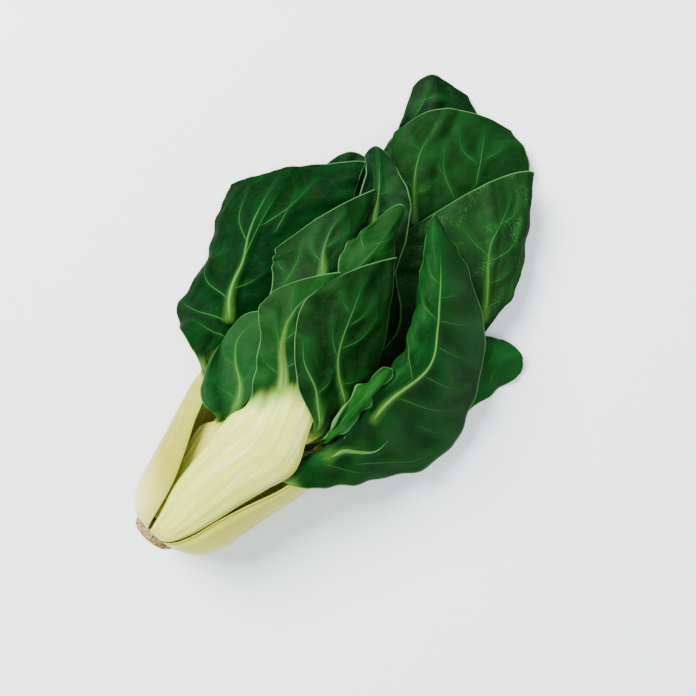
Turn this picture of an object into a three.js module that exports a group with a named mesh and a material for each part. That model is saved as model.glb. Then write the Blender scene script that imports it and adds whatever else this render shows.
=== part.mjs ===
// A whole head of bok choy lying on its side, root end at -X and leaf tips at +X, in millimetres.
// The origin is the middle of the small flat spot under the bulb where the head rests, +Z up.
import * as THREE from "three";

// Driving dimensions.
const GAP = 0.4; // air between a stalk or rib and the green beside it
const BLADE = 0.9; // thickness of the green
const RIB_TIP = 1.7; // thickness of the midrib where it ends
const RIB_RISE = 0.5; // how far a midrib stands out of the back of its leaf
const CLEARANCE = 1.1; // air between a leaf and the pile it was laid on
const FLARE = 15; // length over which a stalk narrows to its midrib
const RADIAN = Math.PI / 180;

// The bunch of stalks: half width, half height and the middle of the oval they stand round.
const BUNCH = [
  { x: -20, wide: 9.5, high: 9.5, y: 3.5, z: 22 },
  { x: -14, wide: 19, high: 17, y: 1.5, z: 22 },
  { x: -6, wide: 24, high: 21.6, y: 0.5, z: 20.6 },
  { x: 6, wide: 27, high: 22.6, y: 0.3, z: 21.6 },
  { x: 20, wide: 30, high: 22.8, y: 0.3, z: 23.4 },
  { x: 32, wide: 33, high: 23.5, y: 0.3, z: 24.6 },
  { x: 45, wide: 35.5, high: 24, y: 0.3, z: 25.5 },
];

const ROOT = -17.5; // where the outer stalks begin
const BULB = 8; // where the bulb is fullest
const OPENING = 45; // where the stalks come apart

// The short stem that the stalks grow from, cut off at the root end.
const STEM = [
  { x: -23, radius: 7.5 },
  { x: -21.5, radius: 9.8 },
  { x: -19, radius: 10.8 },
  { x: -15, radius: 10.2 },
  { x: -12, radius: 8.6 },
  { x: -8, radius: 7.4 },
  { x: -3, radius: 3 },
];

const STEM_Y = 0.3; // where the axis of the stem would pass beside the origin
const STEM_Z = 21.8; // and above it

// Each leaf, in the order they were laid one on another.
// ring: its place round the bunch as a share of the oval, angle and half spread at the root, at the bulb and
// at the opening, and where it starts and leaves the bunch along X.
// stations: left, middle and right points across the leaf from there to its tip.
// green: the stations at which the green begins on either side. free: the station from which the leaf lies
// loosely on the pile. stalk: thickness at the bulb and where it leaves the bunch. rib: where the midrib
// ends as a share of the leaf, and its half width where the blade opens. cells: across half a blade, and
// the spacing along it.
const LEAVES = [
  {
    name: "under_leaf",
    ring: { share: 1, angle: [312, 312, 313], spread: [28, 28, 28], from: -17.5, to: 45 },
    stations: [
      [[76, -15.5, 2], [74, 8, 2], [72, 31, 2]],
      [[133.5, -8.5, 2], [124.5, 15, 2], [116, 45.5, 2]],
      [[180.5, 2, 2], [166.5, 24.5, 2], [158, 48.5, 2]],
      [[214, 14.5, 2], [198.5, 34.5, 3], [181, 44, 2]],
      [[224, 26.5, 2], [216, 42, 4], [198, 48, 3]],
      [[224, 37, 2], [222, 50, 3], [212, 54, 2]],
    ],
    green: [-0.2, -0.2],
    free: 0,
    stalk: [5.5, 4.2],
    rib: { end: 0.85, half: 4 },
    cells: { across: 3, along: 13 },
    wave: { height: 1.5, length: 40, turn: 0.4 },
    pale: "#dfe0b8",
    colour: "#2c6a33",
  },
  {
    name: "tip_leaf",
    ring: { share: 1, angle: [243, 243, 243], spread: [35, 35, 35], from: -17.5, to: 45 },
    stations: [
      [[97, -60, 3], [88.5, -36, 4], [83.5, -9.5, 4]],
      [[144.5, -49, 4], [129, -25, 5], [117.5, 8.5, 6]],
      [[179.5, -32.5, 6], [154, -8, 9], [142.5, 22, 10]],
      [[206.5, -20.5, 7], [170.5, 10.5, 14], [162, 33.5, 15]],
      [[222.5, -8.5, 7], [187.5, 24, 16], [175.5, 42, 16]],
      [[226, 5.5, 5], [213, 33, 14], [191, 44, 13]],
    ],
    green: [-0.2, -0.2],
    free: -0.8,
    stalk: [5.5, 4.2],
    rib: { end: 0.88, half: 4 },
    cells: { across: 4, along: 12 },
    wave: { height: 1.5, length: 42, turn: 2.0 },
    pale: "#dfe0b8",
    colour: "#1d5226",
  },
  {
    name: "low_leaf",
    ring: { share: 1, angle: [158, 164, 177], spread: [46, 41, 29], from: -17.5, to: 45 },
    stations: [
      [[53.5, -39.5, 31], [54, -36, 25], [55.5, -29.5, 18]],
      [[75.5, -57, 10], [80, -47, 8], [83.5, -34, 6]],
      [[105.5, -65.5, 3], [111, -53.5, 8], [116.5, -39, 7]],
      [[134.5, -71, 1.5], [137, -58, 9], [142.5, -43.5, 8]],
      [[145.5, -74, 1.5], [152, -68, 5], [151.5, -56.5, 7]],
    ],
    green: [0.3, 0.3],
    free: 0.1,
    stalk: [5.5, 4.2],
    rib: { end: 0.86, half: 3 },
    cells: { across: 3, along: 10 },
    wave: { height: 1.5, length: 36, turn: 1.0 },
    pale: "#dfe0b0",
    colour: "#1d5a2a",
  },
  {
    name: "inner_leaf",
    ring: { share: 0.67, angle: [300, 300, 300], spread: [30, 30, 28], from: -12, to: 45 },
    stations: [
      [[74, 1, 8], [72, 24, 8], [73, 43.5, 10]],
      [[114.5, 18.5, 7], [105.5, 35.5, 7], [103.5, 59, 7]],
      [[148, 30, 8], [135.5, 44, 8], [133, 60.5, 8]],
      [[169.5, 40, 10], [168, 54, 12], [151.5, 58.5, 9]],
    ],
    green: [-0.2, -0.2],
    free: 0,
    stalk: [4.5, 3.5],
    rib: { end: 0.85, half: 3 },
    cells: { across: 3, along: 13 },
    wave: { height: 1.2, length: 36, turn: 3.0 },
    pale: "#d9dba6",
    colour: "#1f5526",
  },
  {
    name: "back_leaf",
    ring: { share: 0.67, angle: [212, 212, 212], spread: [28, 28, 27], from: -12, to: 45 },
    stations: [
      [[64.5, -39, 17], [68, -33, 13], [73, -22, 12]],
      [[107, -62.5, 13], [101.5, -43, 13], [98, -18, 13]],
      [[149.5, -45, 14], [142, -43, 15], [125.5, -14.5, 15]],
      [[172, -44.5, 12], [164, -33.5, 17], [139, 0.5, 18]],
      [[193, -32, 14], [181.5, -20.5, 20], [147, 8.5, 20]],
      [[216.5, -15, 16], [197.5, -2.5, 20], [153, 11, 20]],
    ],
    green: [-0.2, -0.2],
    free: -0.4,
    stalk: [4.5, 3.5],
    rib: { end: 0.88, half: 3 },
    cells: { across: 4, along: 11 },
    wave: { height: 1.2, length: 40, turn: 0.0 },
    pale: "#d9dba6",
    colour: "#21592b",
  },
  {
    name: "left_leaf",
    ring: { share: 1, angle: [29, 24, 12], spread: [44, 40, 26], from: -17.5, to: 45 },
    stations: [
      [[54.5, 32.5, 19], [53.5, 37, 27], [50.5, 36.5, 34]],
      [[73, 23, 12], [67, 40, 18], [53.5, 49.5, 20]],
      [[95.5, 26, 14], [80.5, 48.5, 18], [58, 65, 3]],
      [[125, 34, 16], [103, 59, 18], [85, 71, 4]],
      [[149, 37.5, 16], [120, 65, 16], [107, 82, 3]],
      [[168.5, 45, 14], [144, 70, 10], [120.5, 87, 2]],
    ],
    green: [0, 0],
    free: 0.2,
    stalk: [6, 4.5],
    rib: { end: 0.85, half: 4.5 },
    cells: { across: 4, along: 10 },
    wave: { height: 1.5, length: 34, turn: 1.2 },
    pale: "#e2e0ae",
    colour: "#174a22",
  },
  {
    name: "folded_leaf",
    ring: { share: 0.46, angle: [221, 221, 221], spread: [37, 37, 36], from: -8, to: 45 },
    stations: [
      [[90, -16, 26], [85.5, -11, 25], [83, -1, 26]],
      [[127, -3.5, 28], [119.5, 4.5, 26], [115.5, 16, 28]],
      [[156.5, 9.5, 30], [145.5, 19, 27], [141, 30, 29]],
      [[169, 19.5, 29], [161.5, 31.5, 26], [162.5, 40, 28]],
      [[174.5, 35, 27], [175.5, 44.5, 27], [169, 46, 25]],
    ],
    green: [-0.2, -0.2],
    free: 0,
    stalk: [3.5, 3],
    rib: { end: 0.92, half: 2.2 },
    cells: { across: 3, along: 11 },
    wave: { height: 1, length: 30, turn: 0.5 },
    pale: "#cfd79a",
    colour: "#174a22",
  },
  {
    name: "upper_leaf",
    ring: { share: 0.46, angle: [60, 60, 60], spread: [32, 32, 32], from: -8, to: 45 },
    stations: [
      [[59.5, 12.5, 35], [62, 3, 37], [68, -3.5, 37]],
      [[76, 23, 36], [84.5, 14, 41], [93, 4.5, 38]],
      [[93, 34, 33], [104.5, 20.5, 41], [118, 12.5, 36]],
      [[104, 43, 28], [120, 27.5, 39], [136.5, 21.5, 32]],
      [[111, 48, 26], [138.5, 40.5, 36], [161, 32, 30]],
    ],
    green: [-0.2, -0.2],
    free: 0,
    stalk: [3.5, 3],
    rib: { end: 0.88, half: 2.6 },
    cells: { across: 4, along: 10 },
    wave: { height: 1.4, length: 30, turn: 2.2 },
    pale: "#cfd79a",
    colour: "#28662f",
  },
  {
    name: "centre_leaf",
    ring: { share: 0.46, angle: [127, 127, 127], spread: [31, 31, 31], from: -8, to: 45 },
    stations: [
      [[72.5, -8.5, 37], [76.5, -13.5, 38], [82.5, -19.5, 37]],
      [[96, 4, 40], [102, -2.5, 41], [111, -9.5, 39]],
      [[117.5, 16, 40], [122.5, 6.5, 43], [132, 0, 40]],
      [[127, 23.5, 38], [136, 14, 43], [147, 9, 38]],
      [[143.5, 23, 36], [160.5, 20, 38], [159, 14.5, 36]],
    ],
    green: [-0.2, -0.2],
    free: 0,
    stalk: [3.5, 3],
    rib: { end: 0.88, half: 2.4 },
    cells: { across: 4, along: 10 },
    wave: { height: 1.4, length: 28, turn: 0.9 },
    pale: "#cfd79a",
    colour: "#28662f",
  },
  {
    name: "small_leaf",
    ring: { share: 0.67, angle: [48, 48, 45], spread: [27, 27, 24], from: -12, to: 30 },
    stations: [
      [[40, 16, 38], [45.5, 13, 41], [51, 11, 42]],
      [[42, 27, 34], [56.5, 19, 40], [63.5, 11, 43]],
      [[52.5, 34, 30], [64, 27, 38], [73.5, 16.5, 42]],
      [[65, 37.5, 30], [71.5, 33.5, 37], [83.5, 21.5, 42]],
      [[77, 38.5, 32], [85.5, 35, 36], [92.5, 24, 40]],
    ],
    green: [-0.1, -0.1],
    free: 0.5,
    stalk: [4.5, 3.5],
    rib: { end: 0.85, half: 2.4 },
    cells: { across: 4, along: 7 },
    wave: { height: 1.2, length: 26, turn: 0.2 },
    pale: "#cdcb7c",
    colour: "#1f5f2b",
  },
  {
    name: "front_leaf",
    ring: { share: 1, angle: [93, 94, 102], spread: [14, 26.5, 32], from: -17.5, to: 45 },
    stations: [
      [[54, 10.5, 46], [60.5, -3, 51], [62, -17.5, 48]],
      [[66, 17, 48], [74.5, 3, 51], [77.5, -11, 45]],
      [[79.5, 25.5, 50], [86.5, 13.5, 52], [92.5, 1.5, 46]],
      [[86.5, 33, 49], [95.5, 21, 51], [104.5, 6, 46]],
      [[95.5, 35, 47], [109, 28, 48], [122, 18.5, 44]],
    ],
    green: [0, 1.2],
    free: 1,
    stalk: [6, 4.5],
    rib: { end: 0.9, half: 5 },
    cells: { across: 4, along: 8 },
    wave: { height: 0.8, length: 30, turn: 0.7 },
    pale: "#e6e8cf",
    colour: "#2b6d33",
  },
  {
    name: "middle_leaf",
    ring: { share: 0.67, angle: [102, 102, 100], spread: [24, 24, 22], from: -12, to: 45 },
    stations: [
      [[55, -5, 41], [55, -12, 41.5], [55, -19, 40]],
      [[64, -17.5, 44.5], [64.5, -20, 44], [64.5, -22.5, 42]],
      [[74.5, -0.5, 50], [81.5, -15, 46], [84.5, -25.5, 38]],
      [[87.5, 13, 52], [94, -5.5, 49], [103.5, -20.5, 36]],
      [[100.5, 20.5, 52], [109, 3, 51], [120.5, -10.5, 38]],
      [[113.5, 19.5, 50], [129.5, 13, 50], [143, 4.5, 42]],
    ],
    green: [1, 1],
    free: 1.5,
    stalk: [4.5, 3.2],
    rib: { end: 0.9, half: 3 },
    cells: { across: 5, along: 9 },
    wave: { height: 1.2, length: 28, turn: 1.9 },
    pale: "#cfd79a",
    colour: "#256030",
  },
  {
    name: "right_leaf",
    ring: { share: 0.67, angle: [156, 156, 154], spread: [24, 24, 22], from: -12, to: 32 },
    stations: [
      [[38, -12, 37.5], [38, -17.5, 38.5], [38, -23, 40]],
      [[43, -16, 37], [43, -22, 39.5], [41.5, -30.5, 40]],
      [[55.5, -24.5, 39.5], [54.5, -29.5, 41.5], [46.5, -37.5, 33]],
      [[72, -29, 44], [70.5, -34.5, 41], [60.5, -51.5, 22]],
      [[92.5, -28.5, 44], [91.5, -34.5, 47], [86.5, -69.5, 14]],
      [[112, -24.5, 44], [115, -36, 45], [112.5, -67.5, 14]],
      [[128.5, -18, 40], [133.5, -26.5, 45], [142.5, -50.5, 20]],
      [[147.5, -6, 36], [150.5, -13, 42], [162.5, -21, 28]],
      [[162.5, 3.5, 34], [169, 5.5, 36], [167.5, 0, 33]],
    ],
    green: [0.6, 0],
    free: 2.5,
    stalk: [4.2, 1.8],
    rib: { end: 0.88, half: 2 },
    cells: { across: 5, along: 8 },
    wave: { height: 1.6, length: 32, turn: 2.6 },
    pale: "#cfd79a",
    colour: "#1d5a29",
  },
  {
    name: "heart_leaf",
    ring: { share: 0.46, angle: [171, 171, 171], spread: [8, 8, 7], from: -8, to: 45 },
    stations: [
      [[55, -19, 32], [55, -21, 32.5], [55, -23, 32]],
      [[60, -22.5, 38], [60, -23.5, 38.5], [60, -24.5, 38]],
      [[64.5, -23.5, 43], [64.5, -25, 43.5], [64.5, -26, 43]],
      [[79.5, -21, 44], [79.5, -25.5, 46], [79.5, -28.5, 44]],
      [[92, -20, 44], [92, -24.5, 46], [91, -27.5, 44]],
      [[104, -22.5, 44], [106, -25, 45.5], [104, -27.5, 44]],
    ],
    green: [9, 9],
    free: 2.5,
    stalk: [2.5, 1.8],
    rib: { end: 1, half: 0.8 },
    cells: { across: 2, along: 4 },
    wave: { height: 0.8, length: 16, turn: 0.3 },
    pale: "#b9cf6a",
    colour: "#3f8a34",
  },
];

const mix = (a, b, t) => a + (b - a) * t;
const clamp = (value, low, high) => Math.min(Math.max(value, low), high);
const distance = (a, b) => Math.hypot(a[0] - b[0], a[1] - b[1], a[2] - b[2]);

function bunchAt(x) {
  const next = clamp(BUNCH.findIndex((row) => row.x >= x), 1, BUNCH.length - 1);
  const [low, high] = [BUNCH[next - 1], BUNCH[next]];
  const t = clamp((x - low.x) / (high.x - low.x), 0, 1);
  const between = (key) => mix(low[key], high[key], t);
  return { wide: between("wide"), high: between("high"), y: between("y"), z: between("z") };
}

function bunchPoint(x, share, degrees) {
  const oval = bunchAt(x);
  const across = share * oval.wide * Math.cos(degrees * RADIAN);
  const up = share * oval.high * Math.sin(degrees * RADIAN);
  return [x, oval.y + across, oval.z + up];
}

function stalkStations(ring) {
  const between = BUNCH.map((row) => row.x).filter((x) => x > ring.from + 1 && x < ring.to - 1);
  return [ring.from, ...between, ring.to].map((x) => {
    const t = x < BULB ? (x - ROOT) / (BULB - ROOT) : 1 + (x - BULB) / (OPENING - BULB);
    const low = t < 1 ? 0 : 1;
    const [middle, spread] = [ring.angle, ring.spread].map((row) => mix(row[low], row[low + 1], t - low));
    return [-1, 0, 1].map((side) => bunchPoint(x, ring.share, middle + side * spread));
  });
}

// A smooth curve through points set at the given marks.
function curveThrough(points, marks, s) {
  const last = points.length - 1;
  const beyond = marks.findIndex((mark) => mark >= s);
  const next = beyond < 0 ? last : Math.max(beyond, 1);
  const i = next - 1;
  const span = marks[next] - marks[i];
  const t = (s - marks[i]) / span;
  const slope = (k, axis) => {
    const before = Math.max(k - 1, 0);
    const after = Math.min(k + 1, last);
    if (before === k || after === k) {
      return (points[after][axis] - points[before][axis]) / (marks[after] - marks[before]);
    }
    const back = marks[k] - marks[before];
    const ahead = marks[after] - marks[k];
    const backSlope = (points[k][axis] - points[before][axis]) / back;
    const aheadSlope = (points[after][axis] - points[k][axis]) / ahead;
    return (backSlope * ahead + aheadSlope * back) / (back + ahead);
  };
  return [0, 1, 2].map((axis) => {
    const [p, q] = [points[i][axis], points[next][axis]];
    const [m, n] = [slope(i, axis) * span, slope(next, axis) * span];
    const u = 1 - t;
    return u * u * (1 + 2 * t) * p + t * t * (3 - 2 * t) * q + t * u * u * m - t * t * u * n;
  });
}

// A leaf as one surface: s runs along it in millimetres, v from -1 at its left edge to 1 at its right.
class Leaf {
  constructor(plan) {
    this.plan = plan;
    const stalk = stalkStations(plan.ring);
    const stations = [...stalk, ...plan.stations];
    this.marks = [0];
    for (let i = 1; i < stations.length; i += 1) {
      const steps = [0, 1, 2].map((k) => distance(stations[i][k], stations[i - 1][k]));
      this.marks.push(this.marks[i - 1] + (steps[0] + 2 * steps[1] + steps[2]) / 4);
    }
    this.rails = [0, 1, 2].map((k) => stations.map((row) => row[k]));
    this.length = this.marks[stations.length - 1];
    this.stalkEnd = this.marks[stalk.length - 1];
    const markOf = (station) => {
      const at = stalk.length + station;
      const low = Math.min(Math.floor(at), stations.length - 1);
      return mix(this.marks[low], this.marks[Math.min(low + 1, stations.length - 1)], at - low);
    };
    this.green = plan.green.map(markOf);
    this.free = markOf(plan.free);
    this.ribEnd = this.length * plan.rib.end;
    this.lift = null;
  }

  bare(s, v) {
    const [left, middle, right] = this.rails.map((rail) => curveThrough(rail, this.marks, s));
    const point = [0, 1, 2].map(
      (k) => (left[k] * v * (v - 1)) / 2 + middle[k] * (1 - v * v) + (right[k] * v * (v + 1)) / 2,
    );
    const wave = this.plan.wave;
    const grown = clamp((s - this.free) / 30, 0, 1) * clamp((this.length - s) / 12, 0.3, 1);
    const turn = (2 * Math.PI * s) / wave.length + wave.turn + v;
    point[2] += wave.height * grown * v ** 4 * Math.sin(turn);
    return point;
  }

  liftAt(s, v) {
    if (!this.lift) {
      return 0;
    }
    const rows = this.lift.length - 1;
    const columns = this.lift[0].length - 1;
    const along = clamp((s / this.length) * rows, 0, rows - 1e-6);
    const across = clamp(((v + 1) / 2) * columns, 0, columns - 1e-6);
    const [i, j] = [Math.floor(along), Math.floor(across)];
    const near = mix(this.lift[i][j], this.lift[i][j + 1], across - j);
    const far = mix(this.lift[i + 1][j], this.lift[i + 1][j + 1], across - j);
    return mix(near, far, along - i);
  }

  point(s, v) {
    const place = this.bare(s, v);
    place[2] += this.liftAt(s, v);
    return place;
  }

  // The way out of the back of the leaf.
  normal(s, v) {
    const step = 1.5;
    const [s0, s1] = [Math.max(s - step, 0), Math.min(s + step, this.length)];
    const [v0, v1] = [Math.max(v - 0.05, -1), Math.min(v + 0.05, 1)];
    const along = this.point(s1, v).map((value, k) => value - this.point(s0, v)[k]);
    const across = this.point(s, v1).map((value, k) => value - this.point(s, v0)[k]);
    const out = new THREE.Vector3(...across).cross(new THREE.Vector3(...along)).normalize();
    return [out.x, out.y, out.z];
  }

  halfWidth(s) {
    const [left, , right] = this.rails.map((rail) => curveThrough(rail, this.marks, s));
    return distance(left, right) / 2;
  }

  // How far the stalk or midrib reaches to one side, as a share of the half width.
  paleShare(s, side) {
    const begins = this.green[side < 0 ? 0 : 1];
    if (s < begins - 0.01 || begins >= this.ribEnd) {
      return 1;
    }
    const half = this.halfWidth(s);
    const along = clamp((s - begins) / (this.ribEnd - begins), 0, 1);
    const rib = mix(this.plan.rib.half, 0.8, along ** 0.7);
    const edge = mix(half - 1, Math.min(rib, half - 1), clamp((s - begins) / FLARE, 0, 1));
    return Math.max(edge, 0.5) / half;
  }

  thickness(s, v) {
    const share = this.paleShare(s, v);
    if (Math.abs(v) > share + 1e-6 || s > this.ribEnd + 1e-6) {
      return BLADE;
    }
    const [bulb, open] = this.plan.stalk;
    const grown = clamp((s + 2) / 22, 0.15, 1);
    const beyond = clamp((s - this.stalkEnd) / (this.ribEnd - this.stalkEnd), 0, 1);
    const middle =
      s < this.stalkEnd ? grown * mix(bulb, open, s / this.stalkEnd) : mix(open, RIB_TIP, beyond ** 0.5);
    const edge = mix(Math.max(0.5 * middle, 1), 1, clamp(beyond * 4, 0, 1));
    return mix(middle, edge, (v / share) ** 2);
  }

  rise(s, v) {
    const share = this.paleShare(s, v);
    if (Math.abs(v) > share || s > this.ribEnd) {
      return 0;
    }
    const beyond = clamp((s - this.green[0]) / FLARE, 0, 1) * clamp((this.ribEnd - s) / 20, 0.2, 1);
    return RIB_RISE * beyond * (1 - (v / share) ** 2);
  }

  // The two faces of the leaf at one place: its back, and the face towards the heart.
  faces(s, v) {
    const place = this.point(s, v);
    const out = this.normal(s, v);
    const rise = this.rise(s, v);
    const thickness = this.thickness(s, v);
    const flat = (point) => [point[0], point[1], Math.max(point[2], 0)];
    return [
      flat(place.map((value, k) => value + out[k] * rise)),
      flat(place.map((value, k) => value - out[k] * thickness)),
    ];
  }
}

// The height of the pile on a square grid, and how each leaf is laid on it.
class Pile {
  constructor() {
    this.cell = 1.5;
    this.corner = [-40, -100];
    this.columns = 200;
    this.heights = new Float32Array(this.columns * 140);
  }

  index(x, y) {
    const i = Math.round((x - this.corner[0]) / this.cell);
    const j = Math.round((y - this.corner[1]) / this.cell);
    return j * this.columns + i;
  }

  cover(leaf) {
    this.visit(leaf, (faces) => {
      const top = Math.max(faces[0][2], faces[1][2]);
      const at = this.index(faces[0][0], faces[0][1]);
      [-1, 0, 1].forEach((row) =>
        [-1, 0, 1].forEach((column) => {
          const near = at + row * this.columns + column;
          this.heights[near] = Math.max(this.heights[near], top);
        }),
      );
    });
  }

  visit(leaf, use) {
    const rows = Math.ceil(leaf.length / 1.5);
    for (let i = 0; i <= rows; i += 1) {
      const s = (leaf.length * i) / rows;
      const columns = Math.ceil(leaf.halfWidth(s) / 0.6) + 4;
      for (let j = 0; j <= columns; j += 1) {
        const v = (2 * j) / columns - 1;
        use(leaf.faces(s, v), s, v);
      }
    }
  }

  // Lifts a leaf clear of the pile where it has to be, and eases it up round those places.
  lay(leaf) {
    const rows = Math.round(leaf.length / 5);
    const columns = 18;
    const need = Array.from({ length: rows + 1 }, () => new Array(columns + 1).fill(0));
    this.visit(leaf, (faces, s, v) => {
      if (s < leaf.free) {
        return;
      }
      const low = Math.min(faces[0][2], faces[1][2]);
      const high = Math.max(...faces.map((face) => this.heights[this.index(face[0], face[1])]));
      const short = high > 0 ? high + CLEARANCE - low : -low;
      const i = clamp(Math.floor((s / leaf.length) * rows), 0, rows - 1);
      const j = clamp(Math.floor(((v + 1) / 2) * columns), 0, columns - 1);
      [i, i + 1].forEach((row) =>
        [j, j + 1].forEach((column) => {
          need[row][column] = Math.max(need[row][column], short);
        }),
      );
    });
    const pinned = Math.floor(((leaf.free - 12) / leaf.length) * rows);
    let lift = need.map((row) => [...row]);
    for (let pass = 0; pass < 14; pass += 1) {
      lift = lift.map((row, i) =>
        row.map((value, j) => {
          if (i <= pinned) {
            return 0;
          }
          const around = [
            lift[Math.max(i - 1, 0)][j],
            lift[Math.min(i + 1, rows)][j],
            row[Math.max(j - 1, 0)],
            row[Math.min(j + 1, columns)],
          ];
          const eased = (value + around.reduce((sum, one) => sum + one)) / 5;
          return Math.max(need[i][j], eased);
        }),
      );
    }
    leaf.lift = lift;
    this.cover(leaf);
  }
}

// One closed body from a grid of places on a leaf, with only the cells that are kept.
function bodyOf(leaf, rows, columnsAt, keep) {
  const places = [];
  const faces = [];
  const grid = rows.map((s) =>
    columnsAt(s).map((v) => {
      places.push(...leaf.faces(s, v).flat());
      return places.length / 3 - 2;
    }),
  );
  const edges = new Map();
  const edge = (a, b) => {
    if (!edges.delete(`${b} ${a}`)) {
      edges.set(`${a} ${b}`, [a, b]);
    }
  };
  for (let i = 0; i + 1 < rows.length; i += 1) {
    for (let j = 0; j + 1 < grid[i].length; j += 1) {
      if (keep(i, j)) {
        const [a, b, c, d] = [grid[i][j], grid[i][j + 1], grid[i + 1][j + 1], grid[i + 1][j]];
        const parts = (i + j) % 2 ? [[a, b, c], [a, c, d]] : [[a, b, d], [b, c, d]];
        parts.forEach(([p, q, r]) => faces.push([p, q, r], [p + 1, r + 1, q + 1]));
        [[a, b], [b, c], [c, d], [d, a]].forEach(([p, q]) => edge(p, q));
      }
    }
  }
  edges.forEach(([p, q]) => faces.push([q, p, p + 1], [q, p + 1, q + 1]));
  const geometry = new THREE.BufferGeometry();
  geometry.setAttribute("position", new THREE.Float32BufferAttribute(places, 3));
  geometry.setIndex(faces.flat());
  return geometry;
}

function rowsOf(leaf) {
  const flares = leaf.green.flatMap((s) => [s, s + FLARE / 2, s + FLARE]);
  const bunch = leaf.marks.filter((mark) => mark <= leaf.stalkEnd);
  const ends = [leaf.ribEnd, leaf.ribEnd + GAP, leaf.length];
  const fixed = [...bunch, ...flares, ...ends].filter((s) => s <= leaf.length).sort((a, b) => a - b);
  const rows = [fixed[0]];
  fixed.slice(1).forEach((end) => {
    const start = rows[rows.length - 1];
    if (end - start > 0.2) {
      const steps = Math.max(Math.round((end - start) / leaf.plan.cells.along), 1);
      for (let k = 1; k <= steps; k += 1) {
        rows.push(mix(start, end, k / steps));
      }
    }
  });
  return rows;
}

function stalkOf(leaf, rows) {
  const kept = rows.filter((s) => s <= leaf.ribEnd + 1e-6);
  const columnsAt = (s) => {
    const [left, right] = [leaf.paleShare(s, -1), leaf.paleShare(s, 1)];
    return [-left, -0.55 * left, 0, 0.55 * right, right];
  };
  return bodyOf(leaf, kept, columnsAt, () => true);
}

function bladeOf(leaf, rows) {
  const across = leaf.plan.cells.across;
  const begins = Math.min(...leaf.green);
  const kept = rows.filter((s) => s >= begins - 1e-6);
  const columnsAt = (s) => {
    const air = GAP / leaf.halfWidth(s);
    const [left, right] = [-1, 1].map((side) => Math.min(leaf.paleShare(s, side) + air, 0.999));
    const steps = Array.from({ length: across + 1 }, (_, k) => k / across);
    return [...steps.map((t) => mix(-1, -left, t)), ...steps.map((t) => mix(right, 1, t))];
  };
  const keep = (i, j) => {
    if (j === across) {
      return kept[i] > leaf.ribEnd + GAP / 2;
    }
    return kept[i] >= leaf.green[j < across ? 0 : 1] - 1e-6;
  };
  return bodyOf(leaf, kept, columnsAt, keep);
}

// Turned about its own axis, then laid along the bunch with the slant that the root end has.
function stemBody() {
  const outline = STEM.map(({ x, radius }) => new THREE.Vector2(radius, x));
  const [first, last] = [STEM[0].x, STEM[STEM.length - 1].x];
  const closed = [new THREE.Vector2(0, first), ...outline, new THREE.Vector2(0, last)];
  const body = new THREE.LatheGeometry(closed, 24);
  const slant = Math.atan2(bunchAt(last).y - bunchAt(first).y, last - first);
  return body.rotateZ(-Math.PI / 2).rotateZ(slant).translate(0, STEM_Y, STEM_Z);
}

function part(name, geometry, color, roughness) {
  const material = new THREE.MeshStandardMaterial({ color, roughness, metalness: 0 });
  const mesh = new THREE.Mesh(geometry, material);
  mesh.name = name;
  return mesh;
}

const head = new THREE.Group();
head.add(part("stem", stemBody(), "#b39a6b", 0.85));

const pile = new Pile();
LEAVES.forEach((plan) => {
  const leaf = new Leaf(plan);
  pile.lay(leaf);
  const rows = rowsOf(leaf);
  if (plan.rib.end < 1) {
    head.add(part(`${plan.name}_stalk`, stalkOf(leaf, rows), plan.pale, 0.4));
    head.add(part(`${plan.name}_blade`, bladeOf(leaf, rows), plan.colour, 0.5));
  } else {
    head.add(part(plan.name, stalkOf(leaf, rows), plan.colour, 0.4));
  }
});

export default head;
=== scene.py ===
import math

import bpy
import numpy as np
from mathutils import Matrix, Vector


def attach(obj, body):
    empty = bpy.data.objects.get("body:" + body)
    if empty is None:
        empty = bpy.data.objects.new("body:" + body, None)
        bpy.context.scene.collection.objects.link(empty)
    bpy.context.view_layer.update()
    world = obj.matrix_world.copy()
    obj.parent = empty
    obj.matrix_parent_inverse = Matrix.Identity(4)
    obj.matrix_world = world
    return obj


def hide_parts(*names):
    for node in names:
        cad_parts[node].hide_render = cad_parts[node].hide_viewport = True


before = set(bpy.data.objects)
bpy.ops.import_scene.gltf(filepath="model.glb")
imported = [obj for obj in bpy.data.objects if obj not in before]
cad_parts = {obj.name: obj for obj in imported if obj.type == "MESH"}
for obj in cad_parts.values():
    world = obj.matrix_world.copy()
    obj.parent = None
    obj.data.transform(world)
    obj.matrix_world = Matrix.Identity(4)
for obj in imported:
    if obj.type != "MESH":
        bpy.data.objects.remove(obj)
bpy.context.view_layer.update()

MM = 0.001  # lengths are in millimetres where no comment says metres
FINE = 1.0  # spacing of the fine surface
rng = np.random.default_rng(7)

# How a leaf looks unless its own row says otherwise.
LOOK = {
    "back_up": False,  # whether its back faces the viewer
    "green_at": None,  # where along it the green begins, if not at its green stations
    "coarse": 1.0,  # how many times wider than FINE its surface is spaced
    "pucker": 1.0,  # how strongly the blade is puckered
    "ribs": 5,  # ridges across the stalk
    "hollow_shade": "#041909",  # painted shade: the blade in the hollows of its puckers
    "green": "#07210c",  # the blade's green, shown full on its crests
    "light": "#0f3d14",  # mottling, the blade beside its veins, and painted sheen on the highest crests
    "other": "#143a18",  # the face turned away from the viewer
    "net": 0.06,  # how clearly the net of small veins shows
    "vein": "#164019",  # thin veins
    "vein_high": "#4c7a35",  # the widest veins
    "speckles": False,  # whether light speckles are scattered on the blade
    "stalk": "#cad354",
    "stalk_low": "#bdc74a",  # broad dull streaks
    "stalk_high": "#dbe29c",  # fine bright streaks
    "stalk_edge": "#a3b03a",
    "base": "#d4cf5e",  # the foot of the stalk
    "between": "#3d6a22",  # where the stalk turns green
    "rim": "#447440",  # painted highlight: the thin pale line along the blade's margin
    "rough": 0.5,
    "gloss": 0.022,
}


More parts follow.
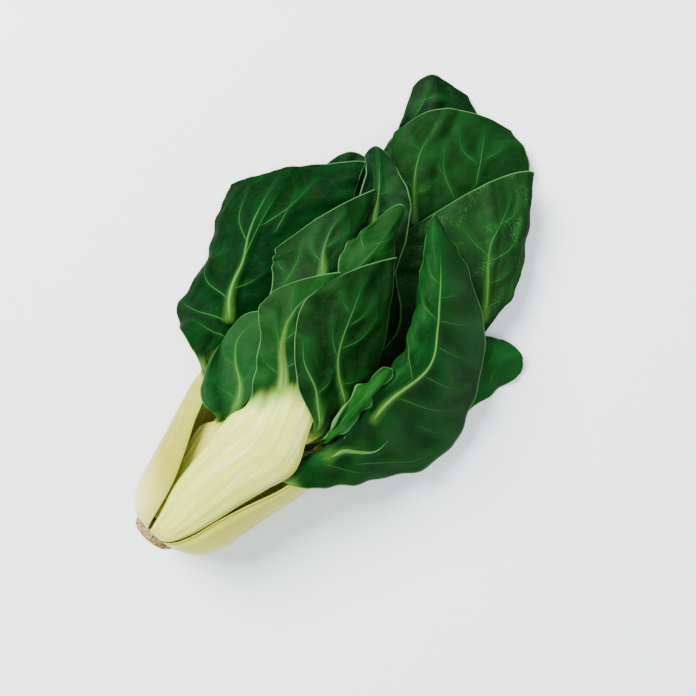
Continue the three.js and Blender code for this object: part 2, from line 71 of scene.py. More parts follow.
# What a leaf's row may leave out
ROW = {"green": (-0.2, -0.2), "free": 0, "midribs": (), "side_veins": ()}

# The leaves, in the order they were laid one on another.
# ring: share of the bunch's oval, angles and half spreads at the stalk marks, first and last place
# stations: left, middle and right points across the leaf, from where it leaves the bunch to its tip
# green: the stations at which the green begins at the left and at the right, counted from the first of them
# free: the station from which the leaf lies loosely on the pile
# stalk: thickness at the bulb and where it leaves the bunch
# rib: where the midrib ends, as a share of the leaf, and its half width where the blade opens
# wave: height, length and phase of the margin's wave
# midribs: width at the start and at the end, and points along and across the leaf
# side_veins: place along and across the leaf at the start and at the end
LEAVES = {
    "under_leaf": {
        "ring": (1, (312, 312, 313), (28, 28, 28), -17.5, 45),
        "stations": [
            [(76, -15.5, 2), (74, 8, 2), (72, 31, 2)],
            [(133.5, -8.5, 2), (124.5, 15, 2), (116, 45.5, 2)],
            [(180.5, 2, 2), (166.5, 24.5, 2), (158, 48.5, 2)],
            [(214, 14.5, 2), (198.5, 34.5, 3), (181, 44, 2)],
            [(224, 26.5, 2), (216, 42, 4), (198, 48, 3)],
            [(224, 37, 2), (222, 50, 3), (212, 54, 2)],
        ],
        "stalk": (5.5, 4.2), "rib": (0.85, 4), "wave": (1.5, 40, 0.4),
        "look": {"coarse": 1.9, "hollow_shade": "#031205", "green": "#051c0a"},
        "side_veins": [(240, 0.55, 254, 0.3), (247, 0.6, 245, -0.2)],
    },
    "tip_leaf": {
        "ring": (1, (243, 243, 243), (35, 35, 35), -17.5, 45),
        "stations": [
            [(97, -60, 3), (88.5, -36, 4), (83.5, -9.5, 4)],
            [(144.5, -49, 4), (129, -25, 5), (117.5, 8.5, 6)],
            [(179.5, -32.5, 6), (154, -8, 9), (142.5, 22, 10)],
            [(206.5, -20.5, 7), (170.5, 10.5, 14), (162, 33.5, 15)],
            [(222.5, -8.5, 7), (187.5, 24, 16), (175.5, 42, 16)],
            [(226, 5.5, 5), (213, 33, 14), (191, 44, 13)],
        ],
        "free": -0.8, "stalk": (5.5, 4.2), "rib": (0.88, 4), "wave": (1.5, 42, 2),
        "look": {"hollow_shade": "#072108", "green": "#0b2a0c"},
        "midribs": [(0.9, 0.4, [(213, 0.15), (229, 0.15), (236, 0.15), (243, 0.15), (253, 0.1)])],
        "side_veins": [(243, 0.15, 248, 0.45), (228, 0.15, 235, 0.55), (223, -0.35, 246, -0.15),
            (227, -0.55, 254, -0.6), (237, -0.55, 252, -0.25), (232, -0.25, 240, -0.1),
            (225, 0.15, 231, -0.15), (238, -0.6, 248, -0.85)],
    },
    "low_leaf": {
        "ring": (1, (158, 164, 177), (46, 41, 29), -17.5, 45),
        "stations": [
            [(53.5, -39.5, 31), (54, -36, 25), (55.5, -29.5, 18)],
            [(75.5, -57, 10), (80, -47, 8), (83.5, -34, 6)],
            [(105.5, -65.5, 3), (111, -53.5, 8), (116.5, -39, 7)],
            [(134.5, -71, 1.5), (137, -58, 9), (142.5, -43.5, 8)],
            [(145.5, -74, 1.5), (152, -68, 5), (151.5, -56.5, 7)],
        ],
        "green": (0.3, 0.3), "free": 0.1, "stalk": (5.5, 4.2), "rib": (0.86, 3), "wave": (1.5, 36, 1),
        "look": {"coarse": 1.6, "hollow_shade": "#0c2f10", "green": "#113f16", "stalk": "#bcb638",
            "stalk_low": "#b2ad32", "stalk_high": "#cac46a"},
        "side_veins": [(174, 0, 188, 0.5), (170, -0.65, 183, -0.05), (179, 0.2, 185, 0.75)],
    },
    "inner_leaf": {
        "ring": (0.67, (300, 300, 300), (30, 30, 28), -12, 45),
        "stations": [
            [(74, 1, 8), (72, 24, 8), (73, 43.5, 10)],
            [(114.5, 18.5, 7), (105.5, 35.5, 7), (103.5, 59, 7)],
            [(148, 30, 8), (135.5, 44, 8), (133, 60.5, 8)],
            [(169.5, 40, 10), (168, 54, 12), (151.5, 58.5, 9)],
        ],
        "stalk": (4.5, 3.5), "rib": (0.85, 3), "wave": (1.2, 36, 3),
        "look": {"coarse": 1.7, "stalk": "#aaa540", "stalk_low": "#9a9634", "base": "#aea648"},
    },
    "back_leaf": {
        "ring": (0.67, (212, 212, 212), (28, 28, 27), -12, 45),
        "stations": [
            [(64.5, -39, 17), (68, -33, 13), (73, -22, 12)],
            [(107, -62.5, 13), (101.5, -43, 13), (98, -18, 13)],
            [(149.5, -45, 14), (142, -43, 15), (125.5, -14.5, 15)],
            [(172, -44.5, 12), (164, -33.5, 17), (139, 0.5, 18)],
            [(193, -32, 14), (181.5, -20.5, 20), (147, 8.5, 20)],
            [(216.5, -15, 16), (197.5, -2.5, 20), (153, 11, 20)],
        ],
        "free": -0.4, "stalk": (4.5, 3.5), "rib": (0.88, 3), "wave": (1.2, 40, 0),
        "look": {"speckles": True, "hollow_shade": "#0b240c", "green": "#102d10", "stalk": "#a5a23a"},
        "midribs": [(0.9, 0.4, [(168, -0.15), (182, 0), (203, 0), (207, -0.1), (216, -0.35)])],
        "side_veins": [(204, 0, 212, 0.15), (193, 0.05, 207, -0.6), (184, 0, 191, -0.4),
            (195, 0.05, 211, 0.4), (208, -0.15, 214, -0.6)],
    },
    "left_leaf": {
        "ring": (1, (29, 24, 12), (44, 40, 26), -17.5, 45),
        "stations": [
            [(54.5, 32.5, 19), (53.5, 37, 27), (50.5, 36.5, 34)],
            [(73, 23, 12), (67, 40, 18), (53.5, 49.5, 20)],
            [(95.5, 26, 14), (80.5, 48.5, 18), (58, 65, 3)],
            [(125, 34, 16), (103, 59, 18), (85, 71, 4)],
            [(149, 37.5, 16), (120, 65, 16), (107, 82, 3)],
            [(168.5, 45, 14), (144, 70, 10), (120.5, 87, 2)],
        ],
        "green": (0, 0), "free": 0.2, "stalk": (6, 4.5), "rib": (0.85, 4.5), "wave": (1.5, 34, 1.2),
        # The foot of this stalk is its own creamy colour made paler still, a painted sheen of the lamp on
        # it.
        "look": {"hollow_shade": "#011303", "green": "#022006", "light": "#07310b", "gloss": 0.012,
            "stalk": "#86820f", "stalk_low": "#949016", "stalk_high": "#a29d30",
            "stalk_edge": "#8e9a20", "base": "#efe88e"},
        "midribs": [(1.3, 0.5, [(106, -0.05), (123, 0), (135, -0.05), (146, 0), (174, 0.05)])],
        "side_veins": [(146, 0, 177, 0.5), (116, 0, 149, 0.95), (104, 0, 123, 0.95),
            (135, -0.05, 176, -0.1), (151, -0.35, 173, -0.35), (121, 0, 131, -0.45),
            (155, -0.1, 178, -0.5), (92, -0.1, 108, 0.7)],
    },
    "folded_leaf": {
        "ring": (0.46, (221, 221, 221), (37, 37, 36), -8, 45),
        "stations": [
            [(90, -16, 26), (85.5, -11, 25), (83, -1, 26)],
            [(127, -3.5, 28), (119.5, 4.5, 26), (115.5, 16, 28)],
            [(156.5, 9.5, 30), (145.5, 19, 27), (141, 30, 29)],
            [(169, 19.5, 29), (161.5, 31.5, 26), (162.5, 40, 28)],
            [(174.5, 35, 27), (175.5, 44.5, 27), (169, 46, 25)],
        ],
        "stalk": (3.5, 3), "rib": (0.92, 2.2), "wave": (1, 30, 0.5),
        "look": {"coarse": 1.6, "stalk": "#b8b24a", "stalk_low": "#aaa440", "base": "#b8ae4e"},
        "midribs": [(0.9, 0.4, [(167, 0.15), (176, 0.05), (184, -0.05), (191, -0.1), (197, -0.15)])],
        "side_veins": [(181, 0, 189, -0.75), (174, 0, 178, -0.7)],
    },
    "upper_leaf": {
        "ring": (0.46, (60, 60, 60), (32, 32, 32), -8, 45),
        "stations": [
            [(59.5, 12.5, 35), (62, 3, 37), (68, -3.5, 37)],
            [(76, 23, 36), (84.5, 14, 41), (93, 4.5, 38)],
            [(93, 34, 33), (104.5, 20.5, 41), (118, 12.5, 36)],
            [(104, 43, 28), (120, 27.5, 39), (136.5, 21.5, 32)],
            [(111, 48, 26), (138.5, 40.5, 36), (161, 32, 30)],
        ],
        "stalk": (3.5, 3), "rib": (0.88, 2.6), "wave": (1.4, 30, 2.2),
        "look": {"back_up": True, "hollow_shade": "#041b05", "green": "#082509", "stalk": "#9a9628"},
        "midribs": [(0.9, 0.4, [(130, 0.1), (142, 0), (148, 0.1), (152, 0.35)])],
        "side_veins": [(126, -0.75, 149, -0.45), (133, -0.75, 145, -0.95), (142, 0, 145, 0.5),
            (136, 0, 148, -0.35)],
    },
    "centre_leaf": {
        "ring": (0.46, (127, 127, 127), (31, 31, 31), -8, 45),
        "stations": [
            [(72.5, -8.5, 37), (76.5, -13.5, 38), (82.5, -19.5, 37)],
            [(96, 4, 40), (102, -2.5, 41), (111, -9.5, 39)],
            [(117.5, 16, 40), (122.5, 6.5, 43), (132, 0, 40)],
            [(127, 23.5, 38), (136, 14, 43), (147, 9, 38)],
            [(143.5, 23, 36), (160.5, 20, 38), (159, 14.5, 36)],
        ],
        "stalk": (3.5, 3), "rib": (0.88, 2.4), "wave": (1.4, 28, 0.9),
        "look": {"back_up": True, "hollow_shade": "#092809", "green": "#0d310d", "stalk": "#9a9628"},
        "side_veins": [(147, -0.35, 166, 0.45), (155, -0.25, 173, -1), (157, -0.1, 158, 0.9)],
    },
    "small_leaf": {
        "ring": (0.67, (48, 48, 45), (27, 27, 24), -12, 30),
        "stations": [
            [(40, 16, 38), (45.5, 13, 41), (51, 11, 42)],
            [(42, 27, 34), (56.5, 19, 40), (63.5, 11, 43)],
            [(52.5, 34, 30), (64, 27, 38), (73.5, 16.5, 42)],
            [(65, 37.5, 30), (71.5, 33.5, 37), (83.5, 21.5, 42)],
            [(77, 38.5, 32), (85.5, 35, 36), (92.5, 24, 40)],
        ],
        "green": (-0.1, -0.1), "free": 0.5, "stalk": (4.5, 3.5), "rib": (0.85, 2.4), "wave": (1.2, 26, 0.2),
        "look": {"hollow_shade": "#08270c", "green": "#0c3411", "stalk": "#c0be58", "stalk_low": "#aeac46"},
        "midribs": [(1.1, 0.5, [(63, 0.15), (73, 0.05), (83, -0.05), (99, 0.15), (103, 0.3)])],
        "side_veins": [(66, -0.05, 82, -0.8), (72, 0, 83, 0.6), (81, 0, 92, -0.65)],
    },
    "front_leaf": {
        "ring": (1, (93, 94, 102), (14, 26.5, 32), -17.5, 45),
        "stations": [
            [(54, 10.5, 46), (60.5, -3, 51), (62, -17.5, 48)],
            [(66, 17, 48), (74.5, 3, 51), (77.5, -11, 45)],
            [(79.5, 25.5, 50), (86.5, 13.5, 52), (92.5, 1.5, 46)],
            [(86.5, 33, 49), (95.5, 21, 51), (104.5, 6, 46)],
            [(95.5, 35, 47), (109, 28, 48), (122, 18.5, 44)],
        ],
        "green": (0, 1.2), "free": 1, "stalk": (6, 4.5), "rib": (0.9, 5), "wave": (0.8, 30, 0.7),
        "look": {"back_up": True, "hollow_shade": "#092609", "green": "#0d320d", "between": "#7d9f3d",
            "stalk_high": "#e8eec4"},
        "midribs": [(1.1, 0.5, [(92, -0.2), (114, -0.3), (125, -0.05), (131, 0.15), (139, 0.65)])],
        "side_veins": [(107, -0.35, 125, -0.5), (114, -0.25, 131, 0.55), (98, -0.35, 108, -1),
            (101, -0.3, 114, 0.45), (125, -0.05, 136, -0.1)],
    },
    "middle_leaf": {
        "ring": (0.67, (102, 102, 100), (24, 24, 22), -12, 45),
        "stations": [
            [(55, -5, 41), (55, -12, 41.5), (55, -19, 40)],
            [(64, -17.5, 44.5), (64.5, -20, 44), (64.5, -22.5, 42)],
            [(74.5, -0.5, 50), (81.5, -15, 46), (84.5, -25.5, 38)],
            [(87.5, 13, 52), (94, -5.5, 49), (103.5, -20.5, 36)],
            [(100.5, 20.5, 52), (109, 3, 51), (120.5, -10.5, 38)],
            [(113.5, 19.5, 50), (129.5, 13, 50), (143, 4.5, 42)],
        ],
        "green": (1, 1), "free": 1.5, "stalk": (4.5, 3.2), "rib": (0.9, 3), "wave": (1.2, 28, 1.9),
        "look": {"back_up": True, "hollow_shade": "#041904", "green": "#092508", "stalk": "#9aa84a"},
        "midribs": [
            (1, 0.4, [(100, 0.45), (109, 0.1), (120, 0), (144, 0.1), (153, 0.15)]),
            (1.2, 0.5, [(83, -0.45), (93, -0.55), (101, -0.55), (115, -0.8), (123, -0.8)]),
        ],
        "side_veins": [(120, 0, 137, -0.3), (125, 0, 139, 0.7), (135, 0.05, 146, 0.55),
            (140, 0.05, 149, -0.3), (109, 0.1, 117, 0.75), (101, -0.55, 114, -0.1)],
    },
    "right_leaf": {
        "ring": (0.67, (156, 156, 154), (24, 24, 22), -12, 32),
        "stations": [
            [(38, -12, 37.5), (38, -17.5, 38.5), (38, -23, 40)],
            [(43, -16, 37), (43, -22, 39.5), (41.5, -30.5, 40)],
            [(55.5, -24.5, 39.5), (54.5, -29.5, 41.5), (46.5, -37.5, 33)],
            [(72, -29, 44), (70.5, -34.5, 41), (60.5, -51.5, 22)],
            [(92.5, -28.5, 44), (91.5, -34.5, 47), (86.5, -69.5, 14)],
            [(112, -24.5, 44), (115, -36, 45), (112.5, -67.5, 14)],
            [(128.5, -18, 40), (133.5, -26.5, 45), (142.5, -50.5, 20)],
            [(147.5, -6, 36), (150.5, -13, 42), (162.5, -21, 28)],
            [(162.5, 3.5, 34), (169, 5.5, 36), (167.5, 0, 33)],
        ],
        "green": (0.6, 0), "free": 2.5, "stalk": (4.2, 1.8), "rib": (0.88, 2), "wave": (1.6, 32, 2.6),
        "look": {"back_up": True, "hollow_shade": "#052306", "green": "#0c3510", "stalk": "#9aae50"},
        "midribs": [
            (1.6, 0.6, [(112, -0.05), (129, -0.05), (145, 0.05), (179, 0), (198, 0.05)]),
            (2.2, 1.2, [(83, -0.1), (89, 0), (95, 0.25), (104, 0.5), (111, 0.45)]),
        ],
        "side_veins": [(134, 0, 159, -1), (140, 0.05, 150, 0.8), (126, 0, 143, 0.85),
            (125, 0.55, 132, 0.85), (93, 0.55, 129, 0.95), (78, 0.05, 100, 0.9), (155, 0.05, 159, 0.85),
            (167, 0, 172, 0.85), (179, 0, 185, 0.7), (167, 0, 181, -0.8), (186, 0, 198, -0.7)],
    },
    "heart_leaf": {
        "ring": (0.46, (171, 171, 171), (8, 8, 7), -8, 45),
        "stations": [
            [(55, -19, 32), (55, -21, 32.5), (55, -23, 32)],
            [(60, -22.5, 38), (60, -23.5, 38.5), (60, -24.5, 38)],
            [(64.5, -23.5, 43), (64.5, -25, 43.5), (64.5, -26, 43)],
            [(79.5, -21, 44), (79.5, -25.5, 46), (79.5, -28.5, 44)],
            [(92, -20, 44), (92, -24.5, 46), (91, -27.5, 44)],
            [(104, -22.5, 44), (106, -25, 45.5), (104, -27.5, 44)],
        ],
        "green": (9, 9), "free": 2.5, "stalk": (2.5, 1.8), "rib": (1, 0.8), "wave": (0.8, 16, 0.3),
        "look": {"back_up": True, "green_at": 56, "hollow_shade": "#072a08", "green": "#123f0d",
            "pucker": 1.6, "coarse": 0.7},
        "midribs": [(0.5, 0.3, [(83, -0.2), (91, -0.3), (98, -0.2), (112, 0.1), (120, -0.25)])],
    },
}

# The leaves as solid sheets
STALK_MARKS = (-17.5, 8, 45)  # the root, the fullest part of the bulb, and where the stalks come apart
BLADE = 0.9  # thickness of the green in the pile
THIN_ROOT = 0.15  # share of its thickness with which a stalk starts
THICKENS = 20  # length over which it reaches its full thickness
RIB_TIP = 1.7  # thickness of the midrib where it ends
RIB_TIP_HALF = 0.8  # half its width there
RIB_RISE = 0.5  # how far a midrib stands out of the back of its leaf
RIB_SINKS = 20  # length before its end over which it sinks into the blade
FLARE = 15.0  # length over which a stalk narrows to its midrib
WAVE_GROWS = 30  # length over which the margin's wave grows from the free station
WAVE_FADES = 12  # length over which it fades to the tip
SLOPE_STEPS = (1.5, 0.05)  # steps along and across, by which the slope of a leaf is measured

# The fine surface
SKIN = 0.45  # real thickness of the green at its margin
BECOMES_BLADE = (-6, 16)  # from where the green begins: where a stalk's shape turns into the blade's
BECOMES_GREEN = (-14, 12)  # the same for its colour
PUCKERS, CRINKLES, RUFFLES = 17, 6, 11  # length of the three sorts of bumps on a blade
PUCKER, CRINKLE, RUFFLE = 0.42, 0.07, 0.5  # their heights
RIDGE = 0.2  # height of the ridges along a stalk
SWELL = 0.55  # how far the blade swells along its veins
GRAIN = 0.01  # the materials' patterns are measured in steps of 100 mm

# The veins
NEAR_VEIN = 9  # length within which a vein changes the blade
WIDE_VEIN = 0.9  # width from which a vein has a pale band round it
SIDE_VEIN = (0.55, 0.25)  # width of a side vein at its start and at its end
SIDE_BEND = (0.42, 0.6)  # where a side vein bends, as shares of its way along and across the leaf
VEIN_SECTION = ((-1, -0.25), (-0.55, 0.55), (0, 0.9), (0.55, 0.55), (1, -0.25))  # across and up
VEIN_HALF = 0.55  # a ridge's half width for each millimetre of the vein's width
VEIN_TALL = 0.55  # its height for each millimetre of that

# The cut stem
STEM_OUTLINE = [(-23, 6), (-22.2, 8.4), (-21, 10), (-19, 10.8), (-15, 10.2), (-12, 8.6), (-8, 7.4), (-3, 3)]
STEM_AXIS = (0.3, -0.158, 21.8)  # place across at 0, its change with each millimetre, and height
CUT_MIDDLE = (-22.4, 3.8, 22.0)
TORN_BELOW = -15  # the part beyond this place is rough
LUMPS, LUMP, LUMP_ALONG = 1.1, 0.35, 0.35  # its lumps: length, height, and share of that along the stem

# Finishes that all leaves share
SPECKLE = "#326528"
BROWN_MARK = "#9c8148"
STALK_ROUGH, STALK_GLOSS = 0.36, 0.2

# The camera and the lamps, in metres where nothing else is said
CAMERA_HEIGHT = 0.45
CAMERA_OVER = (0.1001, -0.0056)  # the place straight below it
CAMERA_TURN = -48.0  # degrees round the vertical
LENS = 49.2  # in millimetres
SENSOR = 36
AIM = Vector((0.1, 0.0, 0.02))  # where both lamps point
FLOOR = 4000  # half the floor's side, in millimetres

# The bunch of stalks: place along the head, half width, half height and the middle of its oval.
BUNCH = np.array([
    (-20, 9.5, 9.5, 3.5, 22),
    (-14, 19, 17, 1.5, 22),
    (-6, 24, 21.6, 0.5, 20.6),
    (6, 27, 22.6, 0.3, 21.6),
    (20, 30, 22.8, 0.3, 23.4),
    (32, 33, 23.5, 0.3, 24.6),
    (45, 35.5, 24, 0.3, 25.5),
], dtype=float)


def bunch_point(x, share, degrees):
    """A place in the bunch: its place along the head, its share of the oval and its angle round it."""
    wide, high, y, z = [np.interp(x, BUNCH[:, 0], BUNCH[:, k]) for k in (1, 2, 3, 4)]
    turn = math.radians(degrees)
    return (x, y + share * wide * math.cos(turn), z + share * high * math.sin(turn))


def stalk_stations(ring):
    """Left, middle and right points of a stalk at each oval between its first and its last place."""
    share, angles, spreads, start, end = ring
    between = [x for x in BUNCH[:, 0] if start + 1 < x < end - 1]
    stations = []
    for x in [start, *between, end]:
        middle, spread = np.interp(x, STALK_MARKS, angles), np.interp(x, STALK_MARKS, spreads)
        stations.append([bunch_point(x, share, middle + side * spread) for side in (-1, 0, 1)])
    return stations


def slopes_of(points, marks):
    """Slope of a smooth curve at each of its points."""
    step = np.diff(marks)[:, None]
    ahead = np.diff(points, axis=0) / step
    inner = (ahead[:-1] * step[1:] + ahead[1:] * step[:-1]) / (step[:-1] + step[1:])
    return np.vstack([ahead[:1], inner, ahead[-1:]])


def along_curve(points, slopes, marks, s):
    """Places on a smooth curve through points set at the given marks."""
    last = np.clip(np.searchsorted(marks, s), 1, len(marks) - 1)
    span = (marks[last] - marks[last - 1])[:, None]
    t = (s[:, None] - marks[last - 1][:, None]) / span
    u = 1 - t
    start, end = points[last - 1], points[last]
    leave, arrive = slopes[last - 1] * span, slopes[last] * span
    return u * u * (1 + 2 * t) * start + t * t * (3 - 2 * t) * end + t * u * u * leave - t * t * u * arrive


def smooth(value, low, high):
    t = np.clip((value - low) / (high - low), 0, 1)
    return t * t * (3 - 2 * t)


class Ripples:
    """Smooth seeded bumps over a surface measured in millimetres."""

    def __init__(self, wavelength, count=26):
        turns = rng.uniform(0, 2 * np.pi, count)
        waves = 2 * np.pi / (wavelength * rng.uniform(0.7, 1.5, count))
        self.waves = np.stack([waves * np.cos(turns), waves * np.sin(turns)])
        self.phases = rng.uniform(0, 2 * np.pi, count)
        self.scale = math.sqrt(2 / count)

    def __call__(self, across, along):
        turn = across[:, None] * self.waves[0] + along[:, None] * self.waves[1] + self.phases
        return np.sin(turn).sum(axis=1) * self.scale


class Leaf:
    """One leaf as a surface: s runs along it in millimetres, v from -1 at its left to 1 at its right."""

    def __init__(self, name, row):
        self.name = name
        self.plan = plan = {**ROW, **row}
        self.look = {**LOOK, **row["look"]}
        self.puckers, self.crinkles, self.ruffles = Ripples(PUCKERS), Ripples(CRINKLES), Ripples(RUFFLES)
        stalk = stalk_stations(plan["ring"])
        stations = np.array(stalk + plan["stations"], dtype=float)
        steps = np.linalg.norm(np.diff(stations, axis=0), axis=2)
        self.marks = np.concatenate([[0], np.cumsum((steps[:, 0] + 2 * steps[:, 1] + steps[:, 2]) / 4)])
        self.rails = [stations[:, k] for k in range(3)]
        self.slopes = [slopes_of(rail, self.marks) for rail in self.rails]
        self.length = self.marks[-1]
        self.stalk_end = self.marks[len(stalk) - 1]
        numbers = np.arange(len(stations)) - len(stalk)
        self.green = [float(np.interp(g, numbers, self.marks)) for g in plan["green"]]
        self.free = float(np.interp(plan["free"], numbers, self.marks))
        self.rib_end = self.length * plan["rib"][0]
        self.lift = None

    def rail_places(self, s):
        return [along_curve(rail, slope, self.marks, s) for rail, slope in zip(self.rails, self.slopes)]

    def bare(self, s, v):
        """Places on the leaf before it is laid on the pile."""
        left, middle, right = self.rail_places(s)
        w = v[:, None]
        place = left * w * (w - 1) / 2 + middle * (1 - w * w) + right * w * (w + 1) / 2
        height, length, turn = self.plan["wave"]
        grown = np.clip((s - self.free) / WAVE_GROWS, 0, 1)
        grown = grown * np.clip((self.length - s) / WAVE_FADES, 0.3, 1)
        place[:, 2] += height * grown * v ** 4 * np.sin(2 * np.pi * s / length + turn + v)
        return place

    def lift_at(self, s, v):
        """How far the pile lifts the leaf at each place, between the corners of the lift's grid."""
        if self.lift is None:
            return np.zeros_like(s)
        rows, columns = self.lift.shape[0] - 1, self.lift.shape[1] - 1
        along = np.clip(s / self.length * rows, 0, rows - 1e-6)
        across = np.clip((v + 1) / 2 * columns, 0, columns - 1e-6)
        i, j = along.astype(int), across.astype(int)
        a, b = along - i, across - j
        near = self.lift[i, j] * (1 - b) + self.lift[i, j + 1] * b
        far = self.lift[i + 1, j] * (1 - b) + self.lift[i + 1, j + 1] * b
        return near * (1 - a) + far * a

    def point(self, s, v):
        place = self.bare(s, v)
        place[:, 2] += self.lift_at(s, v)
        return place

    def normal(self, s, v):
        """The way out of the back of the leaf."""
        step, side = SLOPE_STEPS
        along = self.point(np.minimum(s + step, self.length), v) - self.point(np.maximum(s - step, 0), v)
        across = self.point(s, np.minimum(v + side, 1)) - self.point(s, np.maximum(v - side, -1))
        out = np.cross(across, along)
        return out / np.maximum(np.linalg.norm(out, axis=1), 1e-9)[:, None]

    def half_width(self, s):
        left, _, right = self.rail_places(s)
        return np.linalg.norm(left - right, axis=1) / 2

    def pale_share(self, s, v):
        """How far the stalk or midrib reaches to that side, as a share of the half width."""
        begins = np.where(v < 0, self.green[0], self.green[1])
        half = self.half_width(s)
        along = np.clip((s - begins) / np.maximum(self.rib_end - begins, 1e-6), 0, 1)
        rib = self.plan["rib"][1] + (RIB_TIP_HALF - self.plan["rib"][1]) * along ** 0.7
        rib = np.minimum(rib, half - 1)
        edge = half - 1 + (rib - half + 1) * np.clip((s - begins) / FLARE, 0, 1)
        share = np.maximum(edge, 0.5) / half
        return np.where((s < begins - 0.01) | (begins >= self.rib_end), 1.0, share)

    def rib_thickness(self, s):
        """Thickness along the middle of the stalk and midrib, and how far along the midrib that is."""
        bulb, opened = self.plan["stalk"]
        grown = np.clip((s + 2) / (THICKENS + 2), THIN_ROOT, 1)
        beyond = np.clip((s - self.stalk_end) / (self.rib_end - self.stalk_end), 0, 1)
        stalk = grown * (bulb + (opened - bulb) * s / self.stalk_end)
        return np.where(s < self.stalk_end, stalk, opened + (RIB_TIP - opened) * beyond ** 0.5), beyond

    def thickness(self, s, v):
        """The stalk thins to about half at its edges, and the green is even."""
        share = self.pale_share(s, v)
        middle, beyond = self.rib_thickness(s)
        edge = np.maximum(0.5 * middle, 1)
        edge = edge + (1 - edge) * np.clip(beyond * 4, 0, 1)
        rib = middle + (edge - middle) * (v / share) ** 2
        return np.where((np.abs(v) > share + 1e-6) | (s > self.rib_end + 1e-6), BLADE, rib)

    def rise(self, s, v):
        """How far the midrib stands out of the back."""
        share = self.pale_share(s, v)
        beyond = np.clip((s - self.green[0]) / FLARE, 0, 1)
        beyond = beyond * np.clip((self.rib_end - s) / RIB_SINKS, 0.2, 1)
        on_rib = (np.abs(v) <= share) & (s <= self.rib_end)
        return np.where(on_rib, RIB_RISE * beyond * (1 - (v / share) ** 2), 0)

    def faces(self, s, v):
        """The back of the leaf and its face towards the heart."""
        place, out = self.point(s, v), self.normal(s, v)
        back = place + out * self.rise(s, v)[:, None]
        front = place - out * self.thickness(s, v)[:, None]
        return back, front


class Pile:
    """The height of the pile on a square grid, and how each leaf is laid on it."""

    GAP = 1.1  # air between a leaf and the pile it was laid on
    CELL = 1.5
    SHAPE = (140, 200)
    CORNER = (-40, -100)
    ACROSS = 1.2  # spacing of the samples across a leaf; along it they are a cell apart
    LIFT_STEP = 5  # spacing of the lift's grid along a leaf
    LIFT_COLUMNS = 18
    HINGE = 12  # length before the free station over which a leaf begins to lift
    ROUNDS = 14  # of smoothing

    def __init__(self):
        self.heights = np.zeros(self.SHAPE)

    def cells(self, place):
        column = np.rint((place[:, 0] - self.CORNER[0]) / self.CELL).astype(int)
        row = np.rint((place[:, 1] - self.CORNER[1]) / self.CELL).astype(int)
        return row, column

    def samples(self, leaf):
        rows = math.ceil(leaf.length / self.CELL)
        stops = leaf.length * np.arange(rows + 1) / rows
        counts = np.ceil(2 * leaf.half_width(stops) / self.ACROSS).astype(int) + 4
        s = np.concatenate([np.full(count + 1, stop) for stop, count in zip(stops, counts)])
        v = np.concatenate([np.linspace(-1, 1, count + 1) for count in counts])
        return s, v

    def cover(self, leaf):
        """Adds a leaf to the heights, one cell wider than it is."""
        s, v = self.samples(leaf)
        back, front = leaf.faces(s, v)
        top = np.maximum(back[:, 2], front[:, 2])
        row, column = self.cells(back)
        for down in (-1, 0, 1):
            for aside in (-1, 0, 1):
                np.maximum.at(self.heights, (row + down, column + aside), top)

    def lay(self, leaf):
        """Lifts a leaf clear of the pile where it has to be, and eases it up round those places."""
        rows, columns = round(leaf.length / self.LIFT_STEP), self.LIFT_COLUMNS
        s, v = self.samples(leaf)
        loose = s >= leaf.free
        s, v = s[loose], v[loose]
        back, front = leaf.faces(s, v)
        low = np.minimum(back[:, 2], front[:, 2])
        high = np.maximum(self.heights[self.cells(back)], self.heights[self.cells(front)])
        short = np.where(high > 0, high + self.GAP - low, -low)
        i = np.clip((s / leaf.length * rows).astype(int), 0, rows - 1)
        j = np.clip(((v + 1) / 2 * columns).astype(int), 0, columns - 1)
        need = np.zeros((rows + 1, columns + 1))
        for down in (0, 1):
            for aside in (0, 1):
                np.maximum.at(need, (i + down, j + aside), short)
        pinned = math.floor((leaf.free - self.HINGE) / leaf.length * rows)
        lift = need.copy()
        for _ in range(self.ROUNDS):
            wide = np.pad(lift, 1, mode="edge")
            around = wide[:-2, 1:-1] + wide[2:, 1:-1] + wide[1:-1, :-2] + wide[1:-1, 2:]
            lift = np.maximum(need, (lift + around) / 5)
            lift[: pinned + 1] = 0
        leaf.lift = lift
        self.cover(leaf)


def veins_of(leaf):
    """The width at its start and at its end, and the course, of every vein that shows on a leaf."""
    rows = list(leaf.plan["midribs"])
    for s, v, last_s, last_v in leaf.plan["side_veins"]:
        bend = (s + SIDE_BEND[0] * (last_s - s), v + SIDE_BEND[1] * (last_v - v))
        rows.append((*SIDE_VEIN, [(s, v), bend, (last_s, last_v)]))
    return rows


def vein_path(leaf, points):
    """A vein's places along and across its leaf, about a millimetre apart."""
    points = np.array(points, dtype=float)
    half = leaf.half_width(points[:, 0])
    steps = np.hypot(np.diff(points[:, 0]), np.diff(points[:, 1]) * half[1:])
    marks = np.concatenate([[0], np.cumsum(np.maximum(steps, 0.1))])
    stops = np.linspace(0, marks[-1], max(int(marks[-1] / FINE), 3) + 1)
    place = along_curve(points, slopes_of(points, marks), marks, stops)
    return np.clip(place[:, 0], 0, leaf.length), np.clip(place[:, 1], -1, 1)


